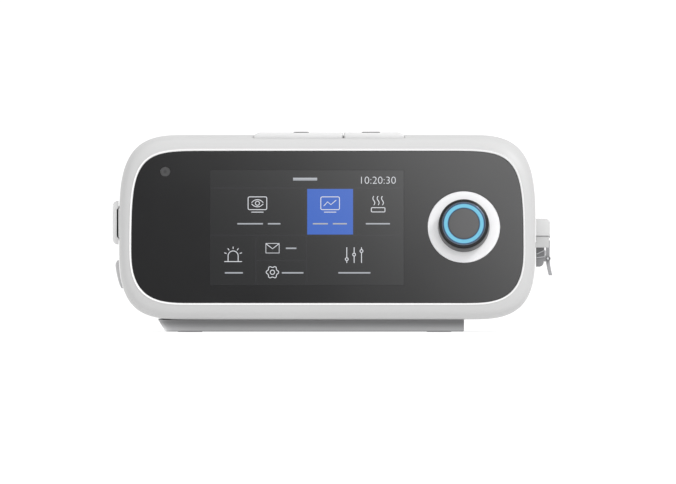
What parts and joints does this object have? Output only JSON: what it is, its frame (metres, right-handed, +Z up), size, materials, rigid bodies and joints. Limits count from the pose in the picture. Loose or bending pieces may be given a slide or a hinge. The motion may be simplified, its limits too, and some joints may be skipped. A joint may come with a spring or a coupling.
{
  "type": "bilevel airway pressure machine",
  "caption": "Bedside breathing machine with a tilted touch panel, push-and-turn knob, top keys, filter door and a latched heated water drawer",
  "frame": {"origin": "middle of the bounding box on the table under the feet", "axes": "+X to the right as the user faces the screen, +Y to the back, +Z up; the front panel faces -Y and leans back 9 degrees"},
  "size_m": [0.245, 0.1845, 0.1115],
  "materials": {
    "white_abs": "fine satin",
    "light_grey_abs": "satin",
    "pedestal_grey_abs": "satin",
    "black_acrylic": "gloss",
    "screen_glass": "gloss",
    "sensor_lens": "gloss",
    "knob_black": "satin",
    "knob_face_grey": "satin",
    "halo_blue": "translucent",
    "trim_metal": "anodised",
    "ring_white": "satin",
    "grey_silicone": "matt",
    "dark_rubber": "matt",
    "latch_grey": "satin",
    "steel": "brushed",
    "aluminium": "rolled",
    "circuit_board": "solder mask",
    "black_plastic": "satin",
    "open_foam": "open cell",
    "filter_fleece": "fleece",
    "clear_copolyester": "clear",
    "duct_white": "satin",
    "copper": "wound copper"
  },
  "bodies": {
    "housing": {"air_duct": "duct_white", "air_filter": "filter_fleece", "base_pedestal": "pedestal_grey_abs", "blower_lower_housing": "black_plastic", "blower_mount": "grey_silicone", "blower_upper_housing": "black_plastic", "card_socket": "steel", "chassis_tray": "light_grey_abs", "display_bracket": "steel", "display_module": "black_plastic", "encoder_body": "black_plastic", "flow_sensor": "black_plastic", "foam_lining": "open_foam", "foot_1": "dark_rubber", "foot_2": "dark_rubber", "foot_3": "dark_rubber", "foot_4": "dark_rubber", "front_bezel": "white_abs", "front_panel": "black_acrylic", "heater_plate": "aluminium", "humidifier_bay": "light_grey_abs", "inlet_muffler": "light_grey_abs", "interface_board": "circuit_board", "key_board": "circuit_board", "knob_surround": "ring_white", "latch_hood": "white_abs", "left_key_switch": "black_plastic", "lower_bearing": "steel", "main_board": "circuit_board", "motor_stator": "copper", "outlet_connector": "light_grey_abs", "outlet_duct": "duct_white", "power_inlet": "black_plastic", "rear_housing": "white_abs", "right_key_switch": "black_plastic", "screen_glass": "screen_glass", "sensor_window": "sensor_lens", "speaker": "black_plastic", "upper_bearing": "steel"},
    "knob_press": {"encoder_sleeve": "steel"},
    "knob": {"knob_shaft": "steel", "knob_body": "knob_black", "knob_trim_ring": "trim_metal", "knob_halo": "halo_blue", "knob_face": "knob_face_grey"},
    "left_key": {"left_key": "white_abs"},
    "right_key": {"right_key": "white_abs"},
    "water_drawer": {"water_tub": "clear_copolyester", "tub_base_plate": "steel", "tub_seal": "grey_silicone", "tub_lid": "clear_copolyester", "drawer_front": "white_abs", "latch_bracket": "latch_grey", "latch_pin": "steel"},
    "latch_lever": {"latch_lever": "latch_grey"},
    "rotor": {"impeller": "duct_white", "motor_rotor": "steel"},
    "filter_door": {"filter_door": "white_abs"},
    "card_flap": {"card_flap": "grey_silicone"}
  },
  "joints": [
    {"name": "knob_push", "type": "slide", "parent": "housing", "child": "knob_press", "axis": [0, 0.9877, -0.1564], "range_m": [0, 0.0006], "stiffness_N_per_m": 2000, "springref_m": -0.0008},
    {"name": "knob_turn", "type": "hinge", "parent": "knob_press", "child": "knob", "pos_m": [0.0732, -0.07734, 0.0586], "axis": [0, -0.9877, 0.1564], "continuous": true},
    {"name": "left_key_push", "type": "slide", "parent": "housing", "child": "left_key", "axis": [0, 0, -1], "range_m": [0, 0.0008], "stiffness_N_per_m": 900, "springref_m": -0.0008},
    {"name": "right_key_push", "type": "slide", "parent": "housing", "child": "right_key", "axis": [0, 0, -1], "range_m": [0, 0.0008], "stiffness_N_per_m": 900, "springref_m": -0.0008},
    {"name": "drawer_slide", "type": "slide", "parent": "housing", "child": "water_drawer", "axis": [1, 0, 0], "range_m": [0, 0.105]},
    {"name": "latch_swing", "type": "hinge", "parent": "water_drawer", "child": "latch_lever", "pos_m": [0.1199, 0.02745, 0.0403], "axis": [0, -1, 0], "range_deg": [0, 18], "stiffness_Nm_per_rad": 0.02, "springref_deg": -20.05},
    {"name": "blower_spin", "type": "hinge", "parent": "housing", "child": "rotor", "pos_m": [-0.0569, 0.00645, 0.0365], "axis": [0, 0, 1], "continuous": true},
    {"name": "filter_door_pull", "type": "slide", "parent": "housing", "child": "filter_door", "axis": [-1, 0, 0], "range_m": [0, 0.02]},
    {"name": "card_flap_swing", "type": "hinge", "parent": "housing", "child": "card_flap", "pos_m": [-0.11844, -0.00555, 0.0242], "axis": [0, -1, 0], "range_deg": [0, 95]}
  ]
}
